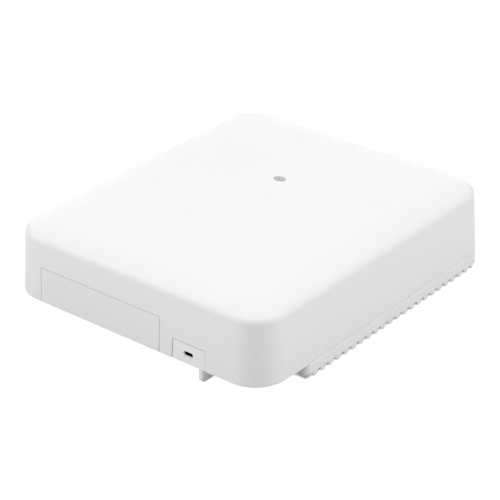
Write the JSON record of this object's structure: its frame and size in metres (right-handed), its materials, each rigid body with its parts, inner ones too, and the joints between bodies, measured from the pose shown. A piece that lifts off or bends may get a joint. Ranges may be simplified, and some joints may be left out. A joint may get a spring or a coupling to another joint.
{
  "type": "ceiling access point",
  "caption": "Flat rounded-box ceiling access point: white radome with status light, flush module door and lock slot on one side, finned cast base with mounting studs and a port recess.",
  "frame": {"origin": "centre of the plan on the mounting plane, at the ends of the mounting stud heads", "axes": "+Z out through the radome's face, away from the ceiling; X along the side that carries the module door and lock slot, which faces -Y; +Y towards the plain back side"},
  "size_m": [0.2206, 0.2597, 0.0625],
  "materials": {
    "radome_plastic": "fine spark-eroded matt moulding, cool white",
    "door_plastic": "fine matt moulding, slightly warmer white",
    "cast_base": "die-cast, light grey-white powder coat",
    "silicone": "soft matt, light grey",
    "steel": "zinc plated, satin",
    "label": "blank satin film",
    "circuit_board": "solder mask over glass-epoxy",
    "tinplate": "bright tin plate",
    "chip_epoxy": "moulded epoxy",
    "thermal_pad": "soft filled silicone",
    "ferrite": "dark grey ceramic, dull",
    "capacitor_sleeve": "drawn can",
    "gold_contact": "gold flash",
    "clear_plastic": "clear to milky light guide",
    "black_plastic": "moulded, satin",
    "bay_plastic": "moulded, dark grey",
    "tray_steel": "galvanised sheet",
    "brass": "turned",
    "antenna_metal": "tinned sheet",
    "nylon": "natural nylon",
    "cable_jacket": "extruded jacket",
    "led_case": "white case, clear resin"
  },
  "bodies": {
    "chassis": {"radome": "radome_plastic", "base_casting": "cast_base", "lock_liner": "black_plastic", "base_gasket": "silicone", "mounting_studs": "steel", "rating_label": "label", "main_board": "circuit_board", "rf_shields": "tinplate", "processor_chips": "chip_epoxy", "thermal_pads": "thermal_pad", "memory_chips": "chip_epoxy", "power_inductors": "ferrite", "bulk_capacitors": "capacitor_sleeve", "power_transformer": "ferrite", "ethernet_magnetics": "chip_epoxy", "console_jack": "tinplate", "aux_jack": "tinplate", "poe_jack": "tinplate", "jack_contacts": "gold_contact", "jack_lamps": "clear_plastic", "usb_port": "tinplate", "dc_inlet": "black_plastic", "reset_switch": "black_plastic", "ground_screw": "steel", "module_bay": "bay_plastic", "module_connector": "black_plastic", "antenna_tray": "tray_steel", "tray_standoffs": "brass", "macro_antennas": "antenna_metal", "micro_antennas": "antenna_metal", "antenna_spacers": "nylon", "beacon_antenna": "circuit_board", "rf_connectors": "gold_contact", "coax_cables": "cable_jacket", "led_board": "circuit_board", "led_spacers": "nylon", "status_led": "led_case", "light_pipe": "clear_plastic", "radome_screws": "steel", "board_screws": "steel", "tray_screws": "steel", "bay_screws": "steel"},
    "module_door": {"module_door": "door_plastic"},
    "reset_button": {"reset_button": "black_plastic"}
  },
  "joints": [
    {"name": "door_pull", "type": "slide", "parent": "chassis", "child": "module_door", "axis": [0, -1, 0], "range_m": [0, 0.03]},
    {"name": "reset_press", "type": "slide", "parent": "chassis", "child": "reset_button", "axis": [0, 1, 0], "range_m": [0, 0.0008], "stiffness_N_per_m": 1500}
  ]
}
